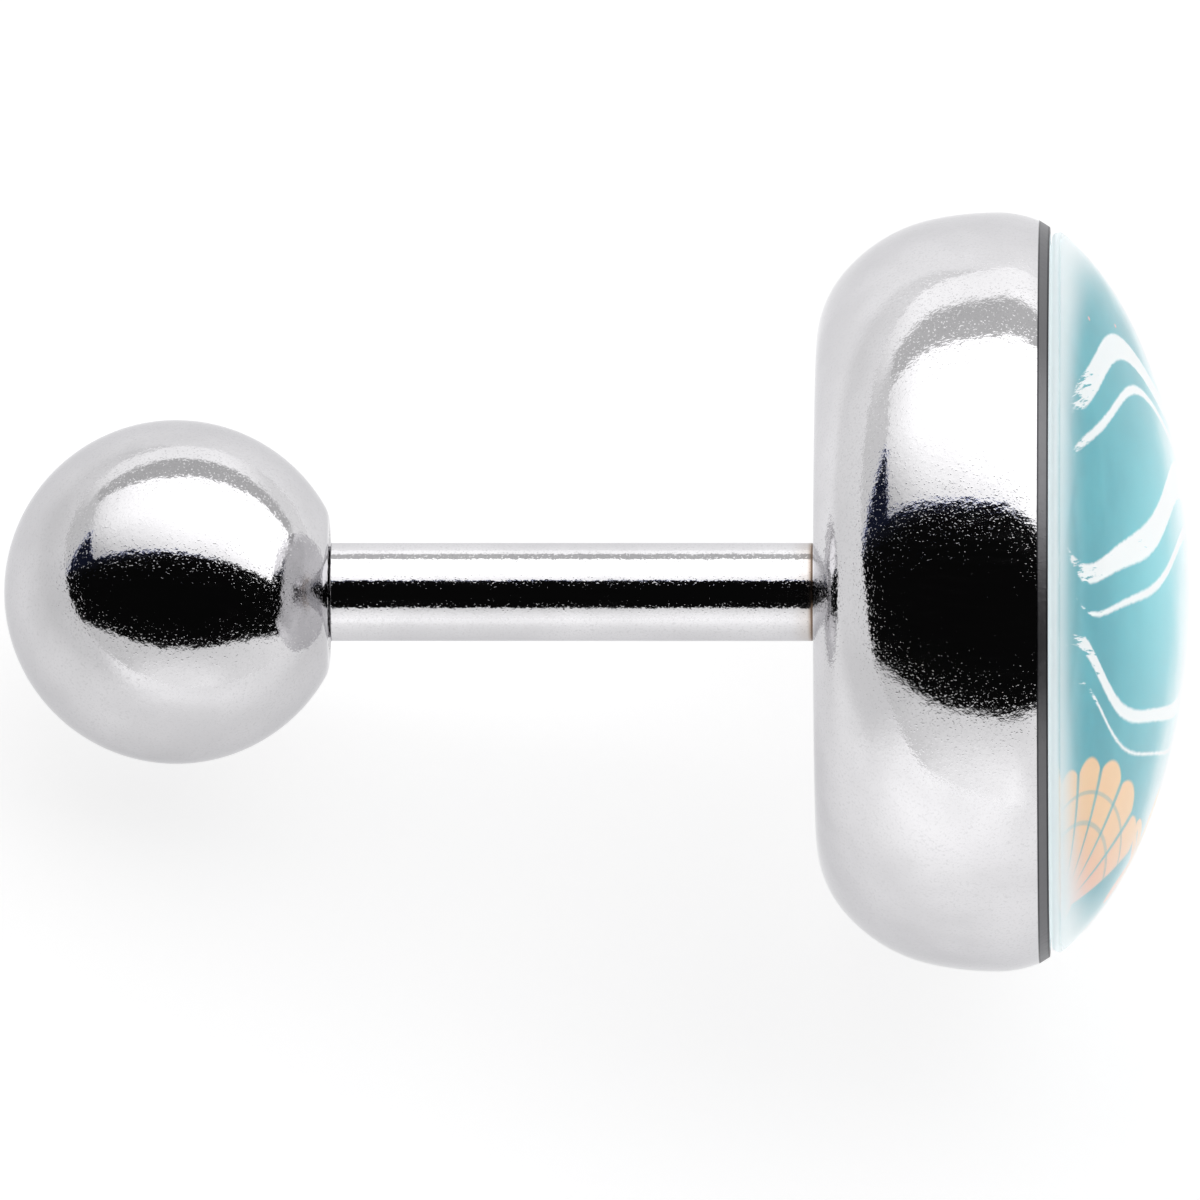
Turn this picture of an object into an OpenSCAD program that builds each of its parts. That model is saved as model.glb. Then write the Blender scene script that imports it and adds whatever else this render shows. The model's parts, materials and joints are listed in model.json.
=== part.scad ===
// Straight barbell stud for the ear: a screw-on ball, a post welded to a round cup, and a clear dome over a printed disc.
// It lies as it rests by itself on a flat surface, on its ball and the edge of its cup.
// Every outline is drawn with its radius along x and its place along the stud's axis along y, from the ball's centre.

/* [Ball] */
// Diameter of the ball
ball_d = 4.2; // [3:0.1:6]
// Diameter of the flat that faces the post, before its edge is rounded
ball_flat_d = 1.9; // [1.8:0.1:2.2]
// Radius of the rounding round that flat
ball_flat_round = 0.4; // [0.1:0.05:0.5]

/* [Post] */
// Diameter of the post, 16 gauge
post_d = 1.2; // [1:0.05:1.3]
// Length of post that shows between ball and cup
post_len = 5.94; // [4:0.02:12]
// Length of the threaded end that the ball screws onto
thread_len = 1.5; // [1:0.05:2]
// Distance from one turn of the thread to the next
thread_pitch = 0.25; // [0.2:0.01:0.3]
// Depth of the thread
thread_depth = 0.12; // [0.08:0.01:0.15]
// Size of the small bevel where the post meets the cup
post_end_bevel = 0.05; // [0.02:0.01:0.08]

/* [Cup] */
// Largest diameter of the cup
cup_d = 9.26; // [8.8:0.02:11]
// Height of the cup along the axis
cup_h = 2.85; // [2.75:0.05:3.2]
// Radius of the rounding at the back of the cup
cup_back_round = 1.4; // [1:0.05:1.6]
// Radius of the cup's flank
cup_flank_round = 1.95; // [1.9:0.05:2.1]
// Radius of the cup's shoulder, up to its widest place
cup_shoulder_round = 3.8; // [3.4:0.1:4]
// Radius of the rounding from the widest place to the rim
cup_rim_round = 1.36; // [1.2:0.02:1.6]
// Height of the satin bevel round the rim
rim_bevel_h = 0.13; // [0.08:0.01:0.16]
// Slope of that bevel from the axis
rim_bevel_angle = 32; // [25:1:45]

/* [Picture] */
// Diameter of the printed disc
picture_d = 8.4; // [8:0.05:8.5]
// Thickness of the printed disc
picture_t = 0.1; // [0.06:0.01:0.2]

/* [Dome] */
// Diameter of the dome where its lower edge starts to round
dome_d = 8.74; // [8.5:0.02:8.84]
// Height of the dome above the cup's front
dome_h = 1.7; // [0.8:0.05:3]
// Depth of the centre of the dome's ellipse below the cup's front
dome_sink = 0.84; // [0:0.02:2]
// Height of the rounding at the dome's lower edge
dome_edge_h = 0.14; // [0.06:0.01:0.2]

/* [Fits] */
// Gap between pieces that lie against each other
gap = 0.02; // [0.01:0.01:0.04]
// Clearance of the thread in the ball, on the radius
thread_clearance = 0.04; // [0.02:0.01:0.06]

/* [Hidden] */
$fn = 96;

// Angles from the radius at which the cup's flank ends and its shoulder starts
back_angle = 50;
shoulder_angle = 12;
// Largest turn between two points of an arc, and of a small arc under the given radius
arc_step = 3;
small_arc_step = 12;
small_arc_below = 0.5;
// Room past the threaded end in the ball, and the bevel round the mouth of its hole
bore_room = 0.1;
bore_bevel = 0.08;

// Ball
ball_r = ball_d / 2;
ball_flat_y = sqrt(pow(ball_r, 2) - pow(ball_flat_d / 2, 2));
flat_round_y = ball_flat_y - ball_flat_round;
flat_round_x = sqrt(pow(ball_r - ball_flat_round, 2) - pow(flat_round_y, 2));
flat_round_angle = atan2(flat_round_y, flat_round_x);

// Post and thread
post_r = post_d / 2;
post_y = ball_flat_y + gap;
thread_r = post_r - thread_clearance;
bore_r = thread_r + thread_clearance;
thread_turns = floor(thread_len / thread_pitch);
thread_y = post_y - thread_turns * thread_pitch;

// Cup: each centre follows from the one before, so that the arcs run smoothly into each other
cup_r = cup_d / 2;
cup_y = ball_flat_y + post_len;
front_y = cup_y + cup_h;
widest_y = cup_y + cup_back_round
    + (cup_shoulder_round - cup_flank_round) * sin(shoulder_angle)
    + (cup_flank_round - cup_back_round) * sin(back_angle);
shoulder_at = [cup_r - cup_shoulder_round, widest_y];
flank_at = shoulder_at
    + (cup_shoulder_round - cup_flank_round) * [cos(shoulder_angle), -sin(shoulder_angle)];
back_at = flank_at
    + (cup_flank_round - cup_back_round) * [cos(back_angle), -sin(back_angle)];
rim_at = [cup_r - cup_rim_round, widest_y];
bevel_y = front_y - rim_bevel_h;
bevel_from = asin((bevel_y - widest_y) / cup_rim_round);
bevel_x = rim_at[0] + cup_rim_round * cos(bevel_from);
rim_x = bevel_x - rim_bevel_h * tan(rim_bevel_angle);

// Recess for the printed disc
recess_r = picture_d / 2 + 2 * gap;
recess_y = front_y - picture_t - 2 * gap;

// Dome: a cap of an ellipse, whose lower edge turns in on an arc that touches it
dome_y = front_y + gap;
dome_at = front_y - dome_sink;
dome_half_h = dome_h + dome_sink;
dome_from = asin((dome_y + dome_edge_h - dome_at) / dome_half_h);
dome_half_w = dome_d / 2 / cos(dome_from);
edge_normal = [cos(dome_from) / dome_half_w, sin(dome_from) / dome_half_h];
edge_out = edge_normal / norm(edge_normal);
edge_angle = atan2(edge_out[1], edge_out[0]);
edge_round = dome_edge_h / (1 + edge_out[1]);
edge_at = [dome_d / 2, dome_y + dome_edge_h] - edge_round * edge_out;

// Rest: the ball and the cup's flank both touch the surface, and the box is centred on the origin
tilt = atan2(flank_at[0], flank_at[1]) + asin((cup_flank_round - ball_r) / norm(flank_at));
reach_x = dome_at * cos(tilt) + norm([dome_half_h * cos(tilt), dome_half_w * sin(tilt)]);
middle_x = (reach_x - ball_r) / 2;

// Points along an ellipse after its first, from one angle to another; a circle's two radii are the same
function arc(centre, radii, from, to) =
    let (
        step = min(radii) < small_arc_below ? small_arc_step : arc_step,
        steps = ceil(abs(to - from) / step)
    )
    [for (i = [1 : steps]) let (angle = from + (to - from) * i / steps)
        centre + [radii[0] * cos(angle), radii[1] * sin(angle)]];

function round_arc(centre, radius, from, to) = arc(centre, [radius, radius], from, to);

// Lays a piece down from the upright axis to its place at rest
module at_rest() {
    translate([-middle_x, 0, ball_r]) rotate([0, 90 - tilt, 0]) children();
}

module ball_outline() {
    polygon([
        [0, -ball_r],
        each round_arc([0, 0], ball_r, -90, flat_round_angle),
        each round_arc([flat_round_x, flat_round_y], ball_flat_round, flat_round_angle, 90),
        [0, ball_flat_y],
    ]);
}

// The blind hole that the threaded end goes into
module bore_outline() {
    bottom = thread_y - bore_room;
    polygon([
        [0, bottom - bore_r * tan(30)],
        [bore_r, bottom],
        [bore_r, ball_flat_y - bore_bevel],
        [bore_r + bore_bevel, ball_flat_y],
        [bore_r + bore_bevel, ball_flat_y + 1],
        [0, ball_flat_y + 1],
    ]);
}

// Post, threaded end and cup in one outline, the thread's turns drawn as rings
module stud_outline() {
    polygon([
        [0, thread_y],
        for (turn = [0 : thread_turns - 1]) each [
            [thread_r - thread_depth, thread_y + turn * thread_pitch],
            [thread_r, thread_y + (turn + 0.5) * thread_pitch],
        ],
        [thread_r - thread_depth, post_y],
        [post_r, post_y],
        [post_r, cup_y - post_end_bevel],
        [post_r - post_end_bevel, cup_y],
        [back_at[0], cup_y],
        each round_arc(back_at, cup_back_round, -90, -back_angle),
        each round_arc(flank_at, cup_flank_round, -back_angle, -shoulder_angle),
        each round_arc(shoulder_at, cup_shoulder_round, -shoulder_angle, 0),
        each round_arc(rim_at, cup_rim_round, 0, bevel_from),
        [rim_x, front_y],
        [recess_r, front_y],
        [recess_r, recess_y],
        [0, recess_y],
    ]);
}

module dome_outline() {
    polygon([
        [0, dome_y],
        [edge_at[0], dome_y],
        each round_arc(edge_at, edge_round, -90, edge_angle),
        each arc([0, dome_at], [dome_half_w, dome_half_h], dome_from, 90),
    ]);
}

module ball() {
    color("gainsboro") at_rest() rotate_extrude() difference() {
        ball_outline();
        bore_outline();
    }
}

module cup_and_post() {
    color("silver") at_rest() rotate_extrude() stud_outline();
}

module picture_disc() {
    color("mediumturquoise") at_rest()
        translate([0, 0, recess_y + gap]) cylinder(h = picture_t, d = picture_d);
}

module dome() {
    color("paleturquoise", 0.5) at_rest() rotate_extrude() dome_outline();
}

ball();
cup_and_post();
picture_disc();
dome();
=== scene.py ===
import json
import math

import bmesh
import bpy
from mathutils import Matrix, Vector


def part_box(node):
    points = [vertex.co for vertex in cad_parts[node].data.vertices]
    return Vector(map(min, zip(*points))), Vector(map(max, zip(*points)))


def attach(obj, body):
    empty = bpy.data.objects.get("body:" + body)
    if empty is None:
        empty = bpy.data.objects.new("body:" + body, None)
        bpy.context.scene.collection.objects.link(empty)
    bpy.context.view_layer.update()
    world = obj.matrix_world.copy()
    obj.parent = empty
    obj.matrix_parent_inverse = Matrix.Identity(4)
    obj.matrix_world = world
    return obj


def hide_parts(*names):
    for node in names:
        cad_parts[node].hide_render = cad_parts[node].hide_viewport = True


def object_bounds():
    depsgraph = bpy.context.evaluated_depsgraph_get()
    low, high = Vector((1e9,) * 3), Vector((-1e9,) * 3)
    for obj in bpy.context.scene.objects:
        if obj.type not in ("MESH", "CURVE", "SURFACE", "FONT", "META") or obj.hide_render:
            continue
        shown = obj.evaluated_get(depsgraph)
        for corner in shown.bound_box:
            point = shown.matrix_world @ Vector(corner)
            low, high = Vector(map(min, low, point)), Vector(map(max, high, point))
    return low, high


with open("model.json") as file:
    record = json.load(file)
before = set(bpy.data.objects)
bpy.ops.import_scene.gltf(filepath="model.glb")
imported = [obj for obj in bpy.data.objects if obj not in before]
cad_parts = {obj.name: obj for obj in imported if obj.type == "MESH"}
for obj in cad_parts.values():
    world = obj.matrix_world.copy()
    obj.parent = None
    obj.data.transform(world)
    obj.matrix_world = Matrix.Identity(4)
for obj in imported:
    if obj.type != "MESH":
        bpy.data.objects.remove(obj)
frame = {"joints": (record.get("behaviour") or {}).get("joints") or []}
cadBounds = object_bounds()
print("frame loaded")

mm = 0.001
mergeDistance = 1e-7  # in metres
plainWhite = (1.0, 1.0, 1.0, 1.0)
leastDivisor = 0.001  # keeps a division clear of nought


# one small class for sockets, and one method for every other node
class Wire:
    def __init__(self, graph, socket):
        self.graph = graph
        self.socket = socket

    def math(self, operation, *others):
        return self.graph.math(operation, self, *others)

    def __add__(self, other):
        return self.math("ADD", other)

    __radd__ = __add__

    def __mul__(self, other):
        return self.math("MULTIPLY", other)

    __rmul__ = __mul__

    def __sub__(self, other):
        return self.math("SUBTRACT", other)

    def __rsub__(self, other):
        return self.graph.math("SUBTRACT", other, self)

    def __truediv__(self, other):
        return self.math("DIVIDE", other)

    def __rtruediv__(self, other):
        return self.graph.math("DIVIDE", other, self)

    def __pow__(self, other):
        return self.math("POWER", other)

    def __neg__(self):
        return self.math("MULTIPLY", -1.0)

    def __abs__(self):
        return self.math("ABSOLUTE")

    def __gt__(self, other):
        return self.math("GREATER_THAN", other)

    def sine(self):
        return self.math("SINE")

    def cosine(self):
        return self.math("COSINE")

    def most(self, other):
        return self.math("MAXIMUM", other)

    # 0 below the first value, 1 above the second, and smooth in between
    def ease(self, low, high, start=0.0, end=1.0):
        settings = {"interpolation_type": "SMOOTHSTEP"}
        inputs = {"Value": self, "From Min": low, "From Max": high, "To Min": start, "To Max": end}
        return self.graph.add("ShaderNodeMapRange", settings, inputs)

    # 1 below the first value, 0 above the second
    def fade(self, low, high):
        return 1 - self.ease(low, high)

    # 1 within the first distance of a place, 0 beyond the second
    def within(self, place, inner, outer):
        return abs(self - place).fade(inner, outer)


class Graph:
    def __init__(self, tree):
        self.tree = tree
        tree.nodes.clear()

    # makes a node; its settings come first, then the values or links of its sockets
    def node(self, kind, settings=None, inputs=None):
        made = self.tree.nodes.new(kind)
        for name, value in (settings or {}).items():
            setattr(made, name, value)
        for key, value in (inputs or {}).items():
            socket = made.inputs[key]
            if isinstance(value, Wire):
                self.tree.links.new(value.socket, socket)
            else:
                socket.default_value = value
        return made

    def add(self, kind, settings=None, inputs=None, output=0):
        return Wire(self, self.node(kind, settings, inputs).outputs[output])

    def math(self, operation, *values):
        return self.add("ShaderNodeMath", {"operation": operation}, dict(enumerate(values)))

    # colours and vectors
    def mix(self, factor, first, second):
        return self.add("ShaderNodeMix", {"data_type": "RGBA"}, {0: factor, 6: first, 7: second}, 2)

    def vector(self, operation, first, second, output=0):
        settings = {"operation": operation}
        return self.add("ShaderNodeVectorMath", settings, {0: first, 1: second}, output)

    def dot(self, first, second):
        return self.vector("DOT_PRODUCT", first, second, 1)

    def join(self, x, y, z=0.0):
        return self.add("ShaderNodeCombineXYZ", None, {0: x, 1: y, 2: z})

    def objectPlace(self):
        return self.add("ShaderNodeTexCoord", None, None, "Object")

    def noise(self, at, scale, detail=2.0, rough=0.5):
        inputs = {"Vector": at, "Scale": scale, "Detail": detail, "Roughness": rough}
        return self.add("ShaderNodeTexNoise", None, inputs)

    def bump(self, height, distance, more=None):
        inputs = {"Strength": 1.0, "Distance": distance, "Height": height, **(more or {})}
        return self.add("ShaderNodeBump", None, inputs)


# a colour as the eye reads it, 0 to 255, turned into light
def tint(red, green, blue):
    def light(value):
        share = value / 255
        return share / 12.92 if share <= 0.04045 else ((share + 0.055) / 1.055) ** 2.4
    return (light(red), light(green), light(blue), 1.0)


def darker(colour, amount):
    return tuple(part - amount for part in colour)


# the highest of several masks
def highest(masks):
    top = masks[0]
    for mask in masks[1:]:
        top = top.most(mask)
    return top


# sizes that more than one piece uses, in millimetres
stud = {
    "ballRadius": 2.1,
    "flatRadius": 0.95,  # of the ball's flat, before its edge is rounded
    "gap": 0.02,  # between pieces that lie against each other
    "postRadius": 0.6,
    "postLength": 5.94,
    "threadLength": 1.5,
    "threadPitch": 0.25,
    "cupHeight": 2.85,
    "recessDepth": 0.14,
    "roll": 65.0,  # degrees from level up to the camera, round the axis
}

# places along the axis, from the ball's centre
flatAt = math.sqrt(stud["ballRadius"] ** 2 - stud["flatRadius"] ** 2)
postAt = flatAt + stud["gap"]
tipAt = postAt - stud["threadLength"]
backAt = flatAt + stud["postLength"]
frontAt = backAt + stud["cupHeight"]
recessAt = frontAt - stud["recessDepth"]
pictureAt = recessAt + stud["gap"]
domeAt = frontAt + stud["gap"]

# where the stud lies: its axis is the joint's, and rises from the ball to the dome
axis = Vector(frame["joints"][0]["axis"]).normalized()
tilt = math.asin(axis.z)
ballHeight = stud["ballRadius"] * mm
ballCentre = Vector((cadBounds[0][0] + ballHeight, 0, ballHeight))
# the two directions across the axis: towards the camera, and up in its picture
roll = math.radians(stud["roll"])
toward = Vector((-math.sin(roll) * math.sin(tilt), -math.cos(roll), math.sin(roll) * math.cos(tilt)))
upward = toward.cross(axis)


def onAxis(along):
    return ballCentre + axis * along * mm


# turned pieces: an outline of (radius, along) points in millimetres, turned about the axis
def onCircle(centre, radius, angle):
    turnBy = math.radians(angle)
    return (centre[0] + radius * math.cos(turnBy), centre[1] + radius * math.sin(turnBy))


def arc(centre, radii, start, end, step=2.0):
    steps = math.ceil(abs(end - start) / step)
    angles = [math.radians(start + (end - start) * i / steps) for i in range(steps + 1)]
    return [(centre[0] + radii[0] * math.cos(a), centre[1] + radii[1] * math.sin(a)) for a in angles]


def roundArc(centre, radius, start, end, step=2.0):
    return arc(centre, (radius, radius), start, end, step)


cornerHold = 1.6  # how far the close points stand from a corner, in sizes of its rounding


# rounds the corner at one point, with a close point on either side to hold the surfaces flat
def corner(before, at, after, size, steps=6):
    here = Vector(at)
    back = (Vector(before) - here).normalized()
    on = (Vector(after) - here).normalized()
    hold = size * cornerHold
    points = [here + back * hold]
    for i in range(steps + 1):
        t = i / steps
        points.append(here + back * size * (1 - t) ** 2 + on * size * t ** 2)
    points.append(here + on * hold)
    return [(p.x, p.y) for p in points]


# an outline is a list of points; a third number on a point is the size of its rounding
def rounded(outline):
    points = []
    for i, point in enumerate(outline):
        if len(point) == 3:
            points += corner(outline[i - 1][:2], point[:2], outline[i + 1][:2], point[2])
        else:
            points.append(point)
    return points


def latheTree():
    tree = bpy.data.node_groups.new("turnedPiece", "GeometryNodeTree")
    sockets = {
        "Outline": ("INPUT", "NodeSocketGeometry"),
        "Segments": ("INPUT", "NodeSocketInt"),
        "Thread Pitch": ("INPUT", "NodeSocketFloat"),
        "Turn": ("INPUT", "NodeSocketRotation"),
        "Place": ("INPUT", "NodeSocketVector"),
        "Finish": ("INPUT", "NodeSocketMaterial"),
        "Piece": ("OUTPUT", "NodeSocketGeometry"),
    }
    for name, (side, kind) in sockets.items():
        tree.interface.new_socket(name=name, in_out=side, socket_type=kind)
    graph = Graph(tree)
    entry = graph.node("NodeGroupInput")
    given = {name: Wire(graph, entry.outputs[name]) for name in sockets if name != "Piece"}
    # a flat sheet with one row of points for each point of the outline
    rings = graph.add("GeometryNodeAttributeDomainSize", {"component": "MESH"}, {0: given["Outline"]})
    sizes = {"Size X": 1.0, "Size Y": 1.0, "Vertices X": rings, "Vertices Y": given["Segments"] + 1}
    sheet = graph.add("GeometryNodeMeshGrid", None, sizes)
    spot = graph.add("GeometryNodeInputPosition")
    parts = graph.node("ShaderNodeSeparateXYZ", None, {0: spot})
    ring = ((Wire(graph, parts.outputs[0]) + 0.5) * (rings - 1)).math("ROUND")
    share = Wire(graph, parts.outputs[1]) + 0.5
    # the outline's point that this ring comes from, and how deep its thread is cut
    picked = {"Geometry": given["Outline"], "Value": spot, "Index": ring}
    point = graph.add("GeometryNodeSampleIndex", {"data_type": "FLOAT_VECTOR"}, picked)
    depth = graph.add("GeometryNodeInputNamedAttribute", {"data_type": "FLOAT"}, {"Name": "threadDepth"})
    picked = {"Geometry": given["Outline"], "Value": depth, "Index": ring}
    cut = graph.add("GeometryNodeSampleIndex", {"data_type": "FLOAT"}, picked)
    flat = graph.node("ShaderNodeSeparateXYZ", None, {0: point})
    radius = Wire(graph, flat.outputs[0])
    along = Wire(graph, flat.outputs[2])
    wave = abs((along / given["Thread Pitch"] - share).math("FRACT") * 2 - 1)
    radius = radius - cut * wave
    # the sheet rolled up, closed and laid in its place
    angle = share * math.tau
    placed = graph.join(radius * angle.cosine(), radius * angle.sine(), along)
    shape = graph.add("GeometryNodeSetPosition", None, {"Geometry": sheet, "Position": placed})
    shape = graph.add("GeometryNodeMergeByDistance", None,
                      {"Geometry": shape, "Distance": mergeDistance})
    shape = graph.add("GeometryNodeTransform", None,
                      {"Geometry": shape, "Translation": given["Place"], "Rotation": given["Turn"]})
    shape = graph.add("GeometryNodeSetShadeSmooth", {"domain": "FACE"}, {"Geometry": shape})
    shape = graph.add("GeometryNodeRealizeInstances", None, {"Geometry": shape})
    shape = graph.add("GeometryNodeSetMaterial", None, {"Geometry": shape, "Material": given["Finish"]})
    graph.node("NodeGroupOutput", None, {"Piece": shape})
    return tree


turnedPiece = latheTree()


def plainMesh(name, piece):
    depsgraph = bpy.context.evaluated_depsgraph_get()
    mesh = bpy.data.meshes.new_from_object(piece.evaluated_get(depsgraph))
    piece.modifiers.clear()
    piece.data = mesh
    mesh.name = name
    surface = bmesh.new()
    surface.from_mesh(mesh)
    bmesh.ops.recalc_face_normals(surface, faces=surface.faces)
    surface.to_mesh(mesh)
    surface.free()


# depths gives the depth of the thread at each point of the outline, or nothing
def turn(name, outline, finish, segments, depths=None):
    mesh = bpy.data.meshes.new(name)
    points = [(x * mm, 0, y * mm) for x, y in outline]
    mesh.from_pydata(points, [(i, i + 1) for i in range(len(points) - 1)], [])
    attribute = mesh.attributes.new("threadDepth", "FLOAT", "POINT")
    attribute.data.foreach_set("value", [d * mm for d in (depths or [0.0] * len(points))])
    piece = bpy.data.objects.new(name, mesh)
    bpy.context.scene.collection.objects.link(piece)
    modifier = piece.modifiers.new("turnedPiece", "NODES")
    modifier.node_group = turnedPiece
    values = {
        "Segments": segments,
        "Thread Pitch": stud["threadPitch"] * mm,
        "Turn": (0, math.pi / 2 - tilt, 0),
        "Place": tuple(ballCentre),
        "Finish": finish,
    }
    for item in turnedPiece.interface.items_tree:
        if item.name in values:
            modifier[item.identifier] = values[item.name]
    plainMesh(name, piece)
    print("turned", name, len(piece.data.polygons), "faces")
    return piece


# finishes
def newMaterial(name):
    material = bpy.data.materials.new(name)
    material.use_nodes = True
    return material, Graph(material.node_tree)


def finishWith(graph, inputs):
    shader = graph.add("ShaderNodeBsdfPrincipled", None, inputs)
    graph.node("ShaderNodeOutputMaterial", None, {"Surface": shader})


# distances from a point on the axis, in millimetres: along it, towards the camera, and up
def studSpace(graph, start=0.0):
    spot = graph.objectPlace()
    local = graph.vector("SUBTRACT", spot, tuple(onAxis(start)))
    return spot, [graph.dot(local, tuple(way)) / mm for way in (axis, toward, upward)]


# the sizes of clouds, specks, grains and waves are counts for each metre
polish = {
    "cloudSize": 900,
    "cloudEdge": (0.35, 0.7),
    "cloudDepth": 9,  # how much darker the clouds are than the steel
    "cloudRough": 0.015,
    "speckSize": 30000,
    "speckEdge": (0.5, 0.72),
    "speckDepth": 15,
    "speckShare": 0.8,
    "streakSize": 14,  # for each millimetre across
    "streakSlow": 0.06,  # the share of that along the piece
    "streakEdge": (0.4, 0.75),
    "streakRough": 0.05,
    "grainSize": 36000,
    "grainEdge": (0.6, 0.8),
    "grainHeight": 0.9e-6,
    "waveSize": 9000,
    "waveHeight": 2.3e-6,
    "roughness": 0.035,
    "edge": (0.8, 0.8, 0.81, 1.0),
}


def polishedSteel(name, steel, extra=None):
    p = polish
    material, graph = newMaterial(name)
    spot, (along, near, high) = studSpace(graph)
    cloud = graph.noise(spot, p["cloudSize"], 3).ease(*p["cloudEdge"])
    colour = graph.mix(cloud, tint(*steel), tint(*darker(steel, p["cloudDepth"])))
    speck = graph.noise(spot, p["speckSize"], 2, 0.7).ease(*p["speckEdge"]) * p["speckShare"]
    colour = graph.mix(speck, colour, tint(*darker(steel, p["speckDepth"])))
    # fine marks drawn along the piece
    streakAt = graph.join(along * p["streakSlow"], near, high)
    streak = graph.noise(streakAt, p["streakSize"]).ease(*p["streakEdge"])
    rough = p["roughness"] + streak * p["streakRough"] + cloud * p["cloudRough"]
    # grains, and the slight waves that polishing leaves
    grain = graph.noise(spot, p["grainSize"], 1).ease(*p["grainEdge"])
    wave = graph.noise(spot, p["waveSize"], 3, 0.6)
    normal = graph.bump(grain, p["grainHeight"])
    normal = graph.bump(wave, p["waveHeight"], {"Normal": normal})
    metal = 1.0
    if extra:
        colour, rough, metal = extra(graph, along, near, high, colour, rough)
    finishWith(graph, {"Base Color": colour, "Roughness": rough, "Metallic": metal,
                       "Specular Tint": p["edge"], "Normal": normal})
    return material


# the ball
ball = {
    "steel": (213, 212, 214),
    "flatRound": 0.4,
    "holeRadius": 0.6,
    "holeRoom": 0.1,  # past the threaded end
    "holePoint": 30,  # slope of its pointed end in degrees
    "mouthBevel": 0.08,
    "mouthRound": 0.012,
    "mouthRing": 0.01,  # from the mouth to the flat's first ring of points
    "neck": 0.02,  # plain hole between the mouth and the thread
    "threadDepth": 0.028,
    "threadRings": 96,
    "segments": 256,
}


def makeBall():
    b = ball
    radius = stud["ballRadius"]
    # the flat's edge is rounded by an arc that touches both the ball and the flat
    roundY = flatAt - b["flatRound"]
    roundX = math.sqrt((radius - b["flatRound"]) ** 2 - roundY ** 2)
    meetAngle = math.degrees(math.atan2(roundY, roundX))
    outline = roundArc((0, 0), radius, -90, meetAngle)
    outline += roundArc((roundX, roundY), b["flatRound"], meetAngle, 90, 5)[1:]
    # the mouth of the hole, rings close together for the tree to cut, and the pointed end
    hole = b["holeRadius"]
    mouth = hole + b["mouthBevel"]
    mouthEnd = flatAt - b["mouthBevel"]
    top = mouthEnd - b["neck"]
    bottom = tipAt - b["holeRoom"]
    rings = b["threadRings"]
    outline += [(mouth + b["mouthRing"], flatAt)]
    outline += corner((radius, flatAt), (mouth, flatAt), (hole, mouthEnd), b["mouthRound"], 4)
    outline += [(hole, mouthEnd)]
    outline += [(hole, top + (bottom - top) * i / rings) for i in range(rings + 1)]
    outline += [(0, bottom - hole * math.tan(math.radians(b["holePoint"])))]
    depths = []
    for x, y in outline:
        threaded = x == hole and tipAt < y < top - b["neck"]
        depths.append(b["threadDepth"] if threaded else 0.0)
    finish = polishedSteel("ballSteel", b["steel"])
    return turn("ball_polished", outline, finish, b["segments"], depths)


ballPiece = makeBall()

# the post and its cup, one piece of steel
cup = {
    "steel": (223, 222, 224),
    "threadRadius": 0.56,
    "threadDepth": 0.12,
    "threadRings": 110,
    "tipBevel": (0.06, 0.1),  # across and along
    "tipRound": 0.02,
    "neck": 0.03,  # plain, between the thread and the post
    "neckRound": 0.012,
    "threadFade": (0.12, 0.06),  # the thread gets shallow over these lengths at its ends
    "postBevel": 0.05,
    "postBevelRound": 0.015,
    "postRing": 0.6,  # distance between the rings of points on the post
    "backRings": (0.56, 0.62, 1.2, 2.2),  # radii of those on the cup's back
    "radius": 4.63,
    "backRound": 1.4,
    "backAngle": 50,  # from the radius, where the back's round meets the flank
    "flankRound": 1.95,
    "shoulderAngle": 12,
    "shoulderRound": 3.8,
    "rimRound": 1.36,
    "bevelHeight": 0.13,
    "bevelAngle": 32,
    "bevelRounds": (0.008, 0.012),  # of its edge by the cup, and by the rim
    "recessRadius": 4.24,
    "recessRound": 0.01,
    "segments": 224,
}

# what marks the steel, with widths in millimetres
marks = {
    "satin": (112, 112, 114),
    "satinEdge": 0.012,
    "satinRough": 0.3,
    "raggedSize": 9000,  # how often the bevel's edge wavers, for each metre
    "raggedDepth": 0.012,
    # the line colour paints shade along the bevel's two edges
    "line": (40, 40, 44),
    "shadeLineWidth": (0.006, 0.014),
    "shadeLineIn": (0.004, 0.012),  # how far the two painted shade lines lie inside the bevel
    "shadeLineShare": 0.85,
    "weld": (126, 96, 70),
    "weldIn": 0.045,  # before the cup's back
    "weldWidth": (0.0, 0.07),
    "weldReach": (0.62, 0.9),
    "weldShare": 0.85,
    "weldRough": 0.12,
    "halo": (170, 150, 128),
    "haloIn": (0.35, 0.05),
    "haloReach": (0.6, 1.25),
    "haloShare": 0.3,
    "film": (232, 243, 244),
    "filmReach": (4.36, 4.37),
    "filmRough": 0.4,
}


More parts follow.
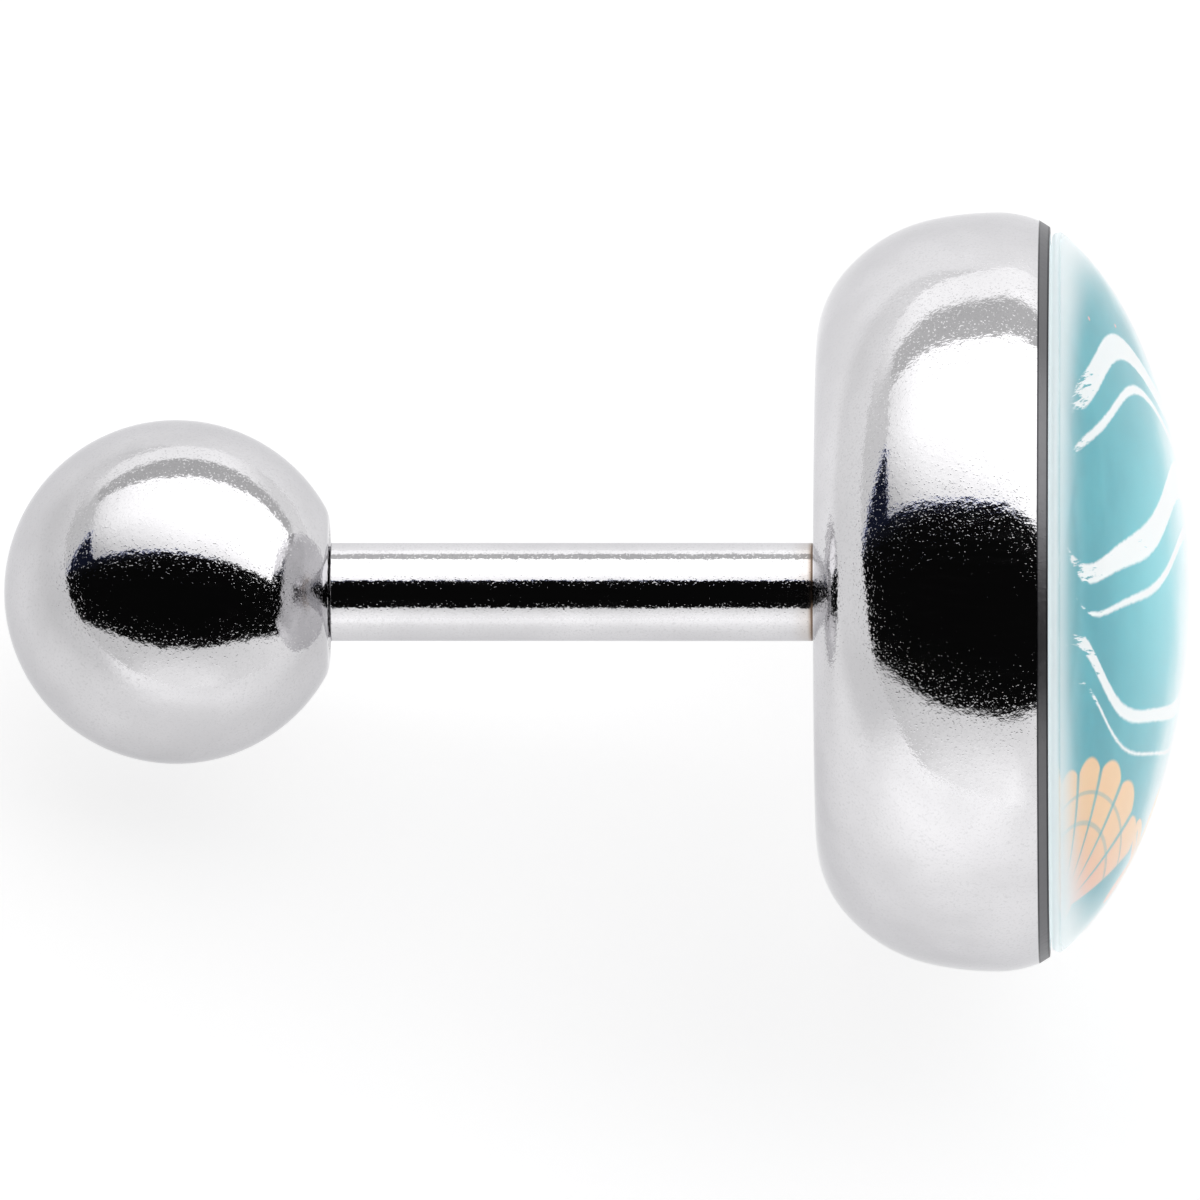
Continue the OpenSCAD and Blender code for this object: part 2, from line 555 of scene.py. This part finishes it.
def steelMarks(graph, along, near, high, colour, rough):
    m = marks
    away = (near * near + high * high) ** 0.5
    # satin bevel round the rim, with a painted shade line along either edge
    bevelAt = frontAt - cup["bevelHeight"]
    ragged = graph.noise(graph.objectPlace(), m["raggedSize"]) * m["raggedDepth"]
    satin = (along + ragged).ease(bevelAt, bevelAt + m["satinEdge"])
    colour = graph.mix(satin, colour, tint(*m["satin"]))
    lines = along.within(bevelAt + m["shadeLineIn"][0], *m["shadeLineWidth"])
    lines = lines.most(along.within(frontAt - m["shadeLineIn"][1], *m["shadeLineWidth"]))
    colour = graph.mix(lines * m["shadeLineShare"], colour, tint(*m["line"]))
    # heat tint round the weld, and a faint halo on the post's end and the cup's back
    weld = along.within(backAt - m["weldIn"], *m["weldWidth"]) * away.fade(*m["weldReach"])
    colour = graph.mix(weld * m["weldShare"], colour, tint(*m["weld"]))
    haloFrom, haloTo = m["haloIn"]
    halo = along.ease(backAt - haloFrom, backAt - haloTo) * away.fade(*m["haloReach"])
    colour = graph.mix(halo * m["haloShare"], colour, tint(*m["halo"]))
    # the picture's pale film reaches under the dome's edge
    film = (along > recessAt - stud["gap"]) * away.fade(*m["filmReach"])
    colour = graph.mix(film, colour, tint(*m["film"]))
    rough = rough + satin * m["satinRough"] + weld * m["weldRough"] + film * m["filmRough"]
    return colour, rough, 1 - film


def makeStud():
    c = cup
    post = stud["postRadius"]
    thread = c["threadRadius"]
    # threaded end: rings close together, which the tree then cuts to a helix
    bevelAcross, bevelAlong = c["tipBevel"]
    start = tipAt + bevelAlong
    end = postAt - c["neck"]
    rings = c["threadRings"]
    tip = (thread - bevelAcross, tipAt)
    outline = [(0, tipAt)] + corner((0, tipAt), tip, (thread, start), c["tipRound"], 3)
    threadFrom = len(outline)
    outline += [(thread, start + (end - start) * i / rings) for i in range(rings + 1)]
    threadTo = len(outline)
    # post, with a bevel by the cup
    bevel = c["postBevel"]
    outline += [(thread, postAt)]
    outline += corner((thread, postAt), (post, postAt), (post, backAt), c["neckRound"], 4)
    outline += [(post, postAt + c["postRing"] * i) for i in range(1, 9)]
    outline += corner((post, postAt), (post, backAt - bevel), (post - bevel, backAt),
                      c["postBevelRound"], 4)
    outline += [(radius, backAt) for radius in c["backRings"]]
    # cup: each centre follows from the one before, so that the arcs run smoothly into each other
    backAngle = c["backAngle"]
    shoulderAngle = c["shoulderAngle"]
    flankStep = c["flankRound"] - c["backRound"]
    shoulderStep = c["shoulderRound"] - c["flankRound"]
    widestAt = (backAt + c["backRound"] + shoulderStep * math.sin(math.radians(shoulderAngle))
                + flankStep * math.sin(math.radians(backAngle)))
    shoulderCentre = (c["radius"] - c["shoulderRound"], widestAt)
    flankCentre = onCircle(shoulderCentre, shoulderStep, -shoulderAngle)
    backCentre = onCircle(flankCentre, flankStep, -backAngle)
    rimCentre = (c["radius"] - c["rimRound"], widestAt)
    bevelAt = frontAt - c["bevelHeight"]
    bevelFrom = math.degrees(math.asin((bevelAt - widestAt) / c["rimRound"]))
    bevelX = onCircle(rimCentre, c["rimRound"], bevelFrom)[0]
    rimX = bevelX - c["bevelHeight"] * math.tan(math.radians(c["bevelAngle"]))
    outline += roundArc(backCentre, c["backRound"], -90, -backAngle, 2.5)
    outline += roundArc(flankCentre, c["flankRound"], -backAngle, -shoulderAngle, 2.5)[1:]
    outline += roundArc(shoulderCentre, c["shoulderRound"], -shoulderAngle, 0, 1.5)[1:]
    outline += roundArc(rimCentre, c["rimRound"], 0, bevelFrom, 2.5)[1:-1]
    # satin bevel, rim and recess; the first point only gives the direction that the bevel is met from
    outerRound, innerRound = c["bevelRounds"]
    edge = [
        onCircle(rimCentre, c["rimRound"], bevelFrom - 3),
        (bevelX, bevelAt, outerRound),
        (rimX, frontAt, innerRound),
        (c["recessRadius"], frontAt, c["recessRound"]),
        (c["recessRadius"], recessAt, c["recessRound"]),
        (0, recessAt),
    ]
    outline += rounded(edge)[1:]
    depths = [0.0] * len(outline)
    fadeIn, fadeOut = c["threadFade"]
    for i in range(threadFrom, threadTo):
        y = outline[i][1]
        depths[i] = c["threadDepth"] * max(0.0, min(1.0, (y - start) / fadeIn, (end - y) / fadeOut))
    finish = polishedSteel("cupSteel", c["steel"], steelMarks)
    return turn("cup_and_post_polished", outline, finish, c["segments"], depths)


studPiece = makeStud()

# the printed picture: brushed waves over a sea colour, scallop shells, sea stars and bubbles
picture = {
    "radius": 4.2,
    "thickness": 0.1,
    "edgeRound": 0.015,
    "ring": 2,  # radius of a ring of points on each face
    "sea": (82, 178, 190),
    "deep": (70, 164, 178),
    "washScale": 0.7,
    "washEdge": (0.35, 0.65),
    "glow": (122, 220, 230),
    "glowCentre": (-0.4, 0.2),
    "glowReach": (0.2, 2.9),
    "glowShare": 0.85,
    "pathLeft": (-2.2, -1.3),
    "pathRight": (-0.5, 0.6),
    "pathShare": 0.75,
    "pale": (246, 252, 253),
    "white": (252, 253, 253),
    "peach": (253, 207, 160),
    "coral": (246, 178, 168),
    "coralBelow": (-4.0, -2.2),
    "bubbleScale": 2.1,
    "bubbleSize": (0.05, 0.07),
    "bubbleAbove": (2.3, 2.6),
    "bubbleChance": (0.5, 0.52),
    "border": (0.75, 0.98),  # shares of the radius
    "borderWaver": 0.05,
    "roughness": 0.45,
    "roughnessWaver": 0.1,
    "segments": 192,
}

# each brushed line: middle height, rise, length of a swell, shift, half width, first and last place
waves = [
    (2.15, 0.36, 5.4, 0.4, 0.15, -3.3, 3.2),
    (1.70, 0.32, 5.4, 0.65, 0.055, -2.8, 3.5),
    (0.60, 0.42, 5.4, 2.3, 0.17, -3.8, 3.8),
    (0.12, 0.38, 5.4, 2.55, 0.06, -3.5, 3.4),
    (-0.98, 0.36, 5.4, 4.3, 0.14, -3.7, 3.7),
    (-1.40, 0.32, 5.4, 4.55, 0.05, -3.1, 3.3),
]

brush = {
    "ripple": 0.28,  # a second, shorter swell, as a share of the rise
    "rippleShift": 1.7,
    "width": (0.3, 0.85),  # how much it changes along the line, and its middle
    "taper": (0.7, 1.1),  # how far the line thins at its two ends
    "taperStop": 0.02,
    "ragged": 0.035,
    "raggedScale": 9,
    "thinner": 0.012,
    "edge": 0.02,
    "bristles": (1.1, 9),  # how fast they change along and across the line
    "bristleScale": 1.6,
    "dryLength": 2.2,  # the brush runs dry this far before the line's end
    "dryShare": 0.32,
    "dryBelow": (0.24, 0.34),
}

# each shell: centre, reach across and up, and its turn in degrees
shells = [
    ((1.75, -3.75), (2.35, 2.0), -10),
    ((-2.5, -2.75), (1.3, 1.25), 24),
]

scallop = {
    "ribs": 9,
    "spread": (1.16, 1.2),  # half of the fan's angle, in radians
    "start": (0.1, 0.13),  # where it starts, as a share of its reach
    "edge": 0.012,  # how soft its outer edge is
    "notch": 0.1,  # how deep that edge is cut between the ribs
    "notchShape": 0.6,
    "bands": [(0.62, 0.008, 0.02), (0.8, 0.006, 0.016)],  # place and half width of each
    "groove": (0.08, 0.3),
    "grooveStart": (0.2, 0.45),
    "grooveShare": 0.85,
    "bandShare": 0.45,
    "hinge": ((0.19, 0.21), (0.07, 0.09)),
}

# each sea star: centre, reach, and its turn in degrees
stars = [
    ((-0.75, -2.75), 0.8, 12),
    ((-1.2, 3.05), 0.42, 40),
]

seaStar = {
    "arms": 5,
    "body": 0.32,  # its middle, as a share of its reach
    "armShape": 1.6,  # more makes the arms slimmer
    "edge": (-0.015, 0.02),
    "ridge": ((0.12, 0.2), (0.72, 0.8)),  # where the line on each arm starts and ends
    "ridgeWidth": (0.004, 0.02),
    "ridgeShare": 0.6,
}


def brushLine(across, high, wave, ragged, dry):
    level, rise, length, shift, halfWidth, first, last = wave
    turns = math.tau / length
    swing = across * turns + shift
    ripple = (across * turns * 2 + shift * brush["rippleShift"]).sine()
    crest = swing.sine() * rise + ripple * rise * brush["ripple"]
    slope = swing.cosine() * (rise * turns)
    away = abs(high - level - crest) / (slope * slope + 1) ** 0.5
    change, middle = brush["width"]
    width = (across * turns * 0.5 + shift).sine() * change + middle
    taper = across.ease(first, first + brush["taper"][0]) * across.fade(last - brush["taper"][1], last)
    half = width * halfWidth * taper + ragged * brush["ragged"] - brush["thinner"]
    line = (away - half).fade(-brush["edge"], brush["edge"])
    inked = dry - across.ease(last - brush["dryLength"], last) * brush["dryShare"]
    return line * inked.ease(*brush["dryBelow"]) * (taper > brush["taperStop"])


# a fan of ribs round a hinge
def drawShell(across, high, centre, reach, lean):
    turnBy = math.radians(lean)
    x = across - centre[0]
    y = high - centre[1]
    fanX = (x * math.cos(turnBy) + y * math.sin(turnBy)) / reach[0]
    fanY = (y * math.cos(turnBy) - x * math.sin(turnBy)) / reach[1]
    far = (fanX * fanX + fanY * fanY) ** 0.5
    angle = fanX.math("ARCTAN2", fanY)
    ribs = abs((angle * scallop["ribs"]).cosine())
    edge = 1 - scallop["notch"] + ribs ** scallop["notchShape"] * scallop["notch"]
    fan = (far - edge).fade(-scallop["edge"], scallop["edge"])
    fan = fan * abs(angle).fade(*scallop["spread"]) * far.ease(*scallop["start"])
    grooves = ribs.fade(*scallop["groove"]) * far.ease(*scallop["grooveStart"])
    bands = highest([far.within(*band) for band in scallop["bands"]])
    wide, tall = scallop["hinge"]
    hinge = abs(fanX).fade(*wide) * abs(fanY).fade(*tall)
    ribbed = fan * (1 - grooves * scallop["grooveShare"]) * (1 - bands * scallop["bandShare"])
    return ribbed.most(hinge)


def drawStar(across, high, centre, reach, lean):
    x = across - centre[0]
    y = high - centre[1]
    far = (x * x + y * y) ** 0.5
    angle = x.math("ARCTAN2", y) + math.radians(lean)
    arm = (angle * seaStar["arms"]).cosine() * 0.5 + 0.5
    edge = (arm ** seaStar["armShape"] * (1 - seaStar["body"]) + seaStar["body"]) * reach
    body = (far - edge).fade(*seaStar["edge"])
    starts, ends = ([reach * share for share in pair] for pair in seaStar["ridge"])
    ridge = (1 - arm).fade(*seaStar["ridgeWidth"]) * far.ease(*starts) * far.fade(*ends)
    return body * (1 - ridge * seaStar["ridgeShare"])


def printedSea():
    p = picture
    material, graph = newMaterial("printedSea")
    across, high = studSpace(graph, pictureAt)[1][1:]
    face = graph.join(across, high)
    far = (across * across + high * high) ** 0.5 / p["radius"]
    # sea colour in soft patches, lighter near the middle
    wash = graph.noise(face, p["washScale"], 4, 0.6)
    colour = graph.mix(wash.ease(*p["washEdge"]), tint(*p["sea"]), tint(*p["deep"]))
    glowX = across - p["glowCentre"][0]
    glowY = high - p["glowCentre"][1]
    glow = ((glowX ** 2 + glowY ** 2) ** 0.5).fade(*p["glowReach"])
    colour = graph.mix(glow * p["glowShare"], colour, tint(*p["glow"]))
    # a pale path of light on the water
    pathX = across + wash
    path = pathX.fade(*p["pathRight"]) * pathX.ease(*p["pathLeft"])
    colour = graph.mix(path * p["pathShare"], colour, tint(*p["pale"]))
    # shells and stars, peach above and coral below
    warm = graph.mix(high.ease(*p["coralBelow"]), tint(*p["coral"]), tint(*p["peach"]))
    shapes = [drawShell(across, high, *shell) for shell in shells]
    shapes += [drawStar(across, high, *star) for star in stars]
    colour = graph.mix(highest(shapes), colour, warm)
    # bubbles
    cells = graph.node("ShaderNodeTexVoronoi", {"feature": "F1"},
                       {"Vector": face, "Scale": p["bubbleScale"], "Randomness": 1.0})
    chance = graph.add("ShaderNodeSeparateXYZ", None, {0: Wire(graph, cells.outputs["Color"])})
    bubbles = Wire(graph, cells.outputs["Distance"]).fade(*p["bubbleSize"])
    bubbles = bubbles * chance.ease(*p["bubbleChance"]) * high.ease(*p["bubbleAbove"])
    colour = graph.mix(bubbles, colour, tint(*p["coral"]))
    # brushed white waves over it, with ragged edges, and dry towards one end
    ragged = graph.noise(face, brush["raggedScale"], 3, 0.7) - 0.5
    bristleX, bristleY = brush["bristles"]
    dryAt = graph.join(across * bristleX, high * bristleY)
    dry = graph.noise(dryAt, brush["bristleScale"], 3, 0.7)
    lines = highest([brushLine(across, high, wave, ragged, dry) for wave in waves])
    colour = graph.mix(lines, colour, tint(*p["white"]))
    # pale border
    border = (far + (wash - 0.5) * p["borderWaver"]).ease(*p["border"])
    colour = graph.mix(border, colour, tint(*p["pale"]))
    rough = p["roughness"] + wash * p["roughnessWaver"]
    finishWith(graph, {"Base Color": colour, "Roughness": rough})
    return material


def makePicture():
    p = picture
    top = pictureAt + p["thickness"]
    edge = [
        (0, pictureAt),
        (p["ring"], pictureAt),
        (p["radius"], pictureAt, p["edgeRound"]),
        (p["radius"], top, p["edgeRound"]),
        (p["ring"], top),
        (0, top),
    ]
    return turn("picture_disc_printed", rounded(edge), printedSea(), p["segments"])


picturePiece = makePicture()

# the clear dome: a cap of an ellipse, whose lower edge turns in
dome = {
    "edgeRadius": 4.37,
    "edgeHeight": 0.14,
    "height": 1.7,
    "sink": 0.84,  # depth of the ellipse's centre below the cup's front
    "plugRadius": 4.225,
    "plugDepth": 0.0628,  # it ends inside the printed disc, so that no air lies between them
    "plugRound": 0.01,
    "plugRing": 2,  # radius of a ring of points on its face
    "segments": 256,
}

resin = {
    "tone": (0.965, 0.99, 0.995, 1.0),
    "index": 1.5,
    "smearSize": 1400,
    "smearEdge": (0.5, 0.8),
    "smearRough": 0.012,
    "toneEdge": (0.4, 0.7),
    "dustSize": 30000,
    "dustEdge": (0.72, 0.8),
    "dustRough": 0.05,
    "waveSize": 500,
    "waveHeight": 1.5e-6,
    "foot": (-0.1, 0.48),  # the milky edge with its painted glow, from the dome's lower face up to where it ends
    "footRough": 0.55,
    "footShare": 0.8,
    "milk": (0.08, 0.085, 0.085, 1.0),
    "milkRough": 0.4,
    "paintedFootGlow": (232, 243, 246),
    "paintedFootGlowStrength": 0.84,
}


def clearResin():
    r = resin
    material, graph = newMaterial("clearResin")
    spot, measures = studSpace(graph)
    smears = graph.noise(spot, r["smearSize"], 3)
    dust = graph.noise(spot, r["dustSize"], 1).ease(*r["dustEdge"])
    wave = graph.noise(spot, r["waveSize"], 1)
    # the milky cast edge at the foot carries a painted glow, an emission in place of gathered light,
    # which fades up the flank
    foot = measures[0].fade(domeAt + r["foot"][0], domeAt + r["foot"][1])
    rough = smears.ease(*r["smearEdge"]) * r["smearRough"] + dust * r["dustRough"]
    clear = graph.add("ShaderNodeBsdfPrincipled", None, {
        "Base Color": graph.mix(smears.ease(*r["toneEdge"]), plainWhite, r["tone"]),
        "Roughness": rough + foot * foot * r["footRough"],
        "IOR": r["index"],
        "Transmission Weight": 1.0,
        "Normal": graph.bump(wave, r["waveHeight"]),
    })
    # the milk layer's emission is a painted glow
    milk = graph.add("ShaderNodeBsdfPrincipled", None, {
        "Base Color": r["milk"],
        "Roughness": r["milkRough"],
        "Emission Color": tint(*r["paintedFootGlow"]),
        "Emission Strength": r["paintedFootGlowStrength"],
    })
    shader = graph.add("ShaderNodeMixShader", None, {0: foot * r["footShare"], 1: clear, 2: milk})
    graph.node("ShaderNodeOutputMaterial", None, {"Surface": shader})
    return material


def makeDome():
    d = dome
    centreAt = frontAt - d["sink"]
    halfHeight = d["height"] + d["sink"]
    edgeTop = domeAt + d["edgeHeight"]
    start = math.asin((edgeTop - centreAt) / halfHeight)
    halfWidth = d["edgeRadius"] / math.cos(start)
    # the arc below touches the ellipse where that starts, and the flat underside
    out = Vector((math.cos(start) / halfWidth, math.sin(start) / halfHeight)).normalized()
    edgeRound = d["edgeHeight"] / (1 + out.y)
    edgeCentre = (d["edgeRadius"] - edgeRound * out.x, edgeTop - edgeRound * out.y)
    edgeAngle = math.degrees(math.atan2(out.y, out.x))
    plugAt = frontAt - d["plugDepth"]
    outline = [(0, plugAt)]
    outline += rounded([
        (d["plugRing"], plugAt),
        (d["plugRadius"], plugAt, d["plugRound"]),
        (d["plugRadius"], domeAt, d["plugRound"]),
        (edgeCentre[0], domeAt),
    ])[:-1]
    outline += roundArc(edgeCentre, edgeRound, -90, edgeAngle, 8)
    outline += arc((0, centreAt), (halfWidth, halfHeight), math.degrees(start), 90, 1)[1:]
    return turn("dome_clear", outline, clearResin(), d["segments"])


domePiece = makeDome()

# each piece stands for its solid and rides with its body
for piece, node, body in (
    (ballPiece, "ball", "ball"),
    (studPiece, "cup_and_post", "stud"),
    (picturePiece, "picture_disc", "stud"),
    (domePiece, "dome", "stud"),
):
    low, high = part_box(node)
    corners = [v.co for v in piece.data.vertices]
    spare = [max(min(c[i] for c in corners) - low[i], high[i] - max(c[i] for c in corners), key=abs)
             for i in range(3)]
    print(node, "differs from its solid by", [round(s / mm, 3) for s in spare], "mm")
    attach(piece, body)
    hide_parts(node)
print("pieces placed")

# the floor, which glows evenly but for painted shade to the left and a painted pool of light in front,
# with distances in metres
floor = {
    "size": 0.7,
    "colour": (158, 158, 158),
    "mottle": (155, 155, 156),
    "mottleSize": 120,
    "mottleEdge": (0.3, 0.7),
    "roughness": 0.6,
    "specular": 0.2,
    "glow": 0.78,
    "fade": (0.007, 0.016),  # painted shade darkens it to the left between these distances
    "left": (0.76, 0.76, 0.76, 1.0),
    "paintedLightPool": (0.005, 0.02),  # and a painted pool of light lightens it in front of the stud between these
    "front": (1.25, 1.25, 1.25, 1.0),
    "paintedPoolLean": 0.3,  # how far the painted pool of light leans to the left
    "paintedPoolSpread": (0.15, 0.95),
}


def makeFloor():
    f = floor
    material, graph = newMaterial("paleFloor")
    spot = graph.objectPlace()
    mottle = graph.noise(spot, f["mottleSize"], 3).ease(*f["mottleEdge"])
    colour = graph.mix(mottle, tint(*f["colour"]), tint(*f["mottle"]))
    left = -graph.dot(spot, (1.0, 0.0, 0.0))
    front = -graph.dot(spot, (0.0, 1.0, 0.0))
    # painted shade to the left, then a painted pool of light in front
    glow = graph.mix(left.ease(*f["fade"]), plainWhite, f["left"])
    sector = (left / front.most(leastDivisor)).within(f["paintedPoolLean"], *f["paintedPoolSpread"])
    glow = graph.mix(front.ease(*f["paintedLightPool"]) * sector, glow, f["front"])
    finishWith(graph, {"Base Color": colour, "Roughness": f["roughness"],
                       "Specular IOR Level": f["specular"],
                       "Emission Color": glow, "Emission Strength": f["glow"]})
    mesh = bpy.data.meshes.new("floor")
    s = f["size"]
    mesh.from_pydata([(-s, -s, 0), (s, -s, 0), (s, s, 0), (-s, s, 0)], [], [(0, 1, 2, 3)])
    mesh.materials.append(material)
    plane = bpy.data.objects.new("floor", mesh)
    bpy.context.scene.collection.objects.link(plane)


makeFloor()

# soft studio light: a pale room with one large soft panel above, and a dark space behind the camera
room = {
    "pale": 0.9,
    "acrossPale": 0.18,  # lighter to the right
    "background": 0.97,
    "throughDome": 2.15,
    "panelTurn": 55.0,  # degrees above the camera's direction
    "frontEdge": (0.02, 0.05),
    "panelLeft": (-1.27, -1.23),  # each edge is a pair, from where it starts to where it is whole
    "panelRight": (3.8, 4.4),
    "panelNear": (-0.54, -0.515),
    "panelFar": (0.53, 0.56),
    "panelLean": (0.47, 0.09, 0.21),  # how its left, near and far edges lean
    "panelGlow": (1.2, 1.8),  # at the near edge and further up
    "panelRamp": (-0.65, 0.0),
    "panelSlant": 0.2,
    "cornerGlow": 0.42,  # the share of that at its left edge
    "cornerRamp": (-1.7, 0.15),
    "seam": 0.6,
    "seamLeft": (-1.05, -0.95),
    "seamRight": (2.6, 3.6),
    "seamFar": (0.98, 1.08),
    "seamLean": 0.22,
    "band": 0.45,
    "bandFar": (1.5, 4.5),
    "bandSides": (0.4, 1.8),
    "below": 0.32,
    "belowHeight": (0.62, 0.9),
    "belowSides": (0.25, 0.65),
    "dark": 0.003,
    "darkLeft": (-1.4, -1.36),
    "darkLean": 0.36,  # its left edge leans in
    "darkLeanFrom": 0.1,  # above this height
    "darkRight": (1.55, 1.62),
    "darkTop": (0.38, 0.44),
    "darkSlope": 0.54,
    "darkBottom": -0.62,
    "darkEdge": 0.02,  # how soft its lower edge is
    "darkBowl": 0.35,  # how much that edge curves up to the sides
    "bowlMiddle": 0.1,
    "blue": (0.55, 0.7, 1.6, 1.0),
    "blueTop": (-0.02, 0.12),
    "blueSlope": 0.42,
    "blueLight": 0.01,
}


def lightRoom():
    r = room
    world = bpy.data.worlds.new("studio")
    world.use_nodes = True
    bpy.context.scene.world = world
    graph = Graph(world.node_tree)
    way = graph.add("ShaderNodeTexCoord", None, None, "Generated")
    right, up, near = (graph.dot(way, tuple(line)) for line in (axis, upward, toward))
    # the panel lies across the direction that is panelTurn above the camera's
    lean = math.radians(r["panelTurn"])
    facing = (up * math.sin(lean) + near * math.cos(lean)).most(leastDivisor)
    panelX = right / facing
    panelY = (up * math.cos(lean) - near * math.sin(lean)) / facing
    inFront = facing.ease(*r["frontEdge"])
    leftLean, nearLean, farLean = r["panelLean"]
    top = panelY - panelX.most(0.0) * farLean
    panel = (panelX - panelY * leftLean).ease(*r["panelLeft"]) * panelX.fade(*r["panelRight"])
    panel = panel * (panelY + panelX * nearLean).ease(*r["panelNear"]) * top.fade(*r["panelFar"])
    panel = panel * inFront
    # grey seam beyond the panel, and a lighter band beyond that
    over = panelY - panelX * r["seamLean"]
    seam = panelX.ease(*r["seamLeft"]) * panelX.fade(*r["seamRight"])
    seam = seam * top.ease(*r["panelFar"]) * over.fade(*r["seamFar"]) * inFront
    band = over.ease(*r["seamFar"]) * over.fade(*r["bandFar"])
    band = band * abs(panelX).fade(*r["bandSides"]) * inFront
    # dark space: from straight ahead to both sides, round the panel's near edge
    side = right.math("ARCTAN2", near)
    leaning = (up - r["darkLeanFrom"]).most(0.0) * r["darkLean"]
    dark = (side - leaning).ease(*r["darkLeft"])
    dark = dark * side.fade(*r["darkRight"]) * (up - near * r["darkSlope"]).fade(*r["darkTop"])
    bowl = right - r["bowlMiddle"]
    above = up - bowl * bowl * r["darkBowl"] - r["darkBottom"]
    dark = dark * above.ease(-r["darkEdge"], r["darkEdge"])
    shade = dark * (1 - panel)
    # the light of each, laid over the one before
    below = (-up).ease(*r["belowHeight"]) * abs(right).fade(*r["belowSides"])
    light = right * r["acrossPale"] + r["pale"] + band * r["band"] + below * r["below"]
    light = light * (1 - seam) + seam * r["seam"]
    light = light * (1 - shade) + shade * r["dark"]
    glow = (panelY + panelX * r["panelSlant"]).ease(*r["panelRamp"], *r["panelGlow"])
    glow = glow * panelX.ease(*r["cornerRamp"], r["cornerGlow"], 1.0)
    light = light * (1 - panel) + panel * glow
    # faint blue where the dark meets the panel
    blue = shade * (up - near * r["blueSlope"]).ease(*r["blueTop"])
    light = light + blue * r["blueLight"]
    colour = graph.mix(blue, plainWhite, r["blue"])
    # brighter through the clear dome, and plain behind everything
    path = graph.node("ShaderNodeLightPath")
    through = Wire(graph, path.outputs["Is Transmission Ray"])
    light = light * (through * (r["throughDome"] - 1) + 1)
    lit = graph.add("ShaderNodeBackground", None, {"Color": colour, "Strength": light})
    plain = graph.add("ShaderNodeBackground", None, {"Color": plainWhite, "Strength": r["background"]})
    seen = Wire(graph, path.outputs["Is Camera Ray"])
    both = graph.add("ShaderNodeMixShader", None, {0: seen, 1: lit, 2: plain})
    graph.node("ShaderNodeOutputWorld", None, {"Surface": both})


lightRoom()
print("light set")

# camera, square on to the stud's axis but for a small yaw
view = {
    "lens": 800.0,
    "sensor": 36.0,
    "width": 14.634,  # millimetres that the frame takes in
    "middle": 5.172,  # where its middle falls, along the axis
    "drop": 0.098,  # and how far below it
    "yaw": 1.35,
    "clip": (0.01, 10.0),
}


def placeCamera():
    data = bpy.data.cameras.new("camera")
    data.lens = view["lens"]
    data.sensor_width = view["sensor"]
    data.sensor_fit = "HORIZONTAL"
    data.clip_start, data.clip_end = view["clip"]
    yaw = math.radians(view["yaw"])
    back = toward * math.cos(yaw) + axis * math.sin(yaw)
    right = axis * math.cos(yaw) - toward * math.sin(yaw)
    distance = view["width"] * mm * view["lens"] / view["sensor"]
    place = onAxis(view["middle"]) - upward * view["drop"] * mm + back * distance
    camera = bpy.data.objects.new("camera", data)
    turnBy = Matrix((right, upward, back)).transposed().to_4x4()
    camera.matrix_world = Matrix.Translation(place) @ turnBy
    bpy.context.scene.collection.objects.link(camera)
    bpy.context.scene.camera = camera


placeCamera()
bpy.context.scene.view_settings.view_transform = "Standard"
print("camera placed")
